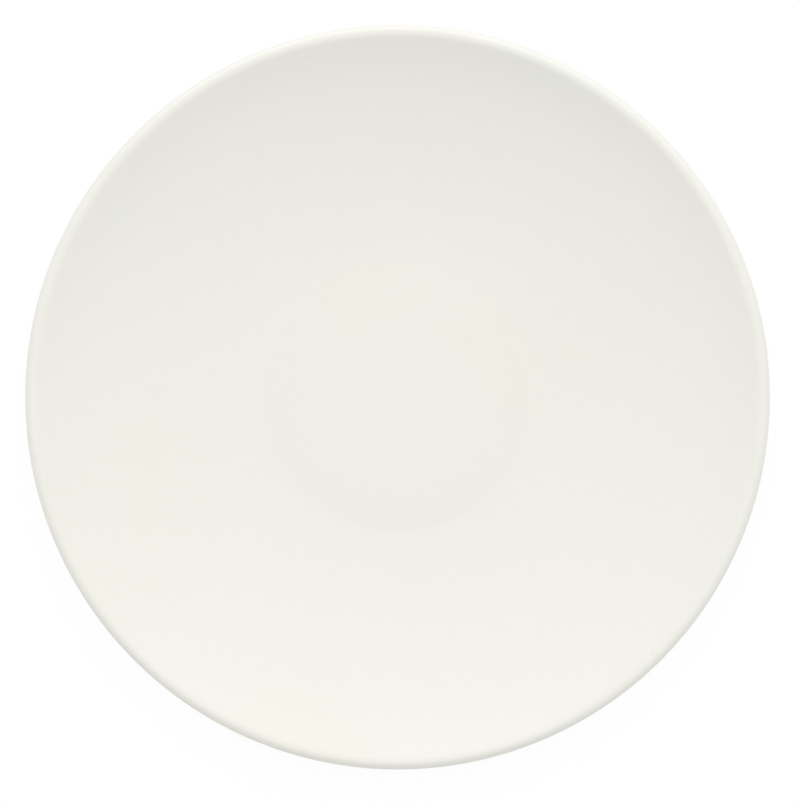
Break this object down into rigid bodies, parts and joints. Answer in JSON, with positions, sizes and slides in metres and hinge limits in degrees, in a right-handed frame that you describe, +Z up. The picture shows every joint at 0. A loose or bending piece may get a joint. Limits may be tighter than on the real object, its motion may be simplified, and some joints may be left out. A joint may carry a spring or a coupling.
{
  "type": "coupe bread plate",
  "caption": "Round coupe plate with no separate rim: a shallow dish that curves up to a rolled lip, on a low bare-edged foot ring, in glossy ivory glaze, for serving bread.",
  "frame": {"origin": "middle of the foot ring, on the surface that the plate stands on", "axes": "+Z up along the plate's axis of revolution, out of the face; X and Y lie in the standing plane"},
  "size_m": [0.165, 0.165, 0.016],
  "materials": {
    "biscuit": "matte",
    "ivory_glaze": "gloss"
  },
  "bodies": {
    "root": {"fired_body": "biscuit", "outer_glaze": "ivory_glaze", "recess_glaze": "ivory_glaze"}
  },
  "joints": []
}
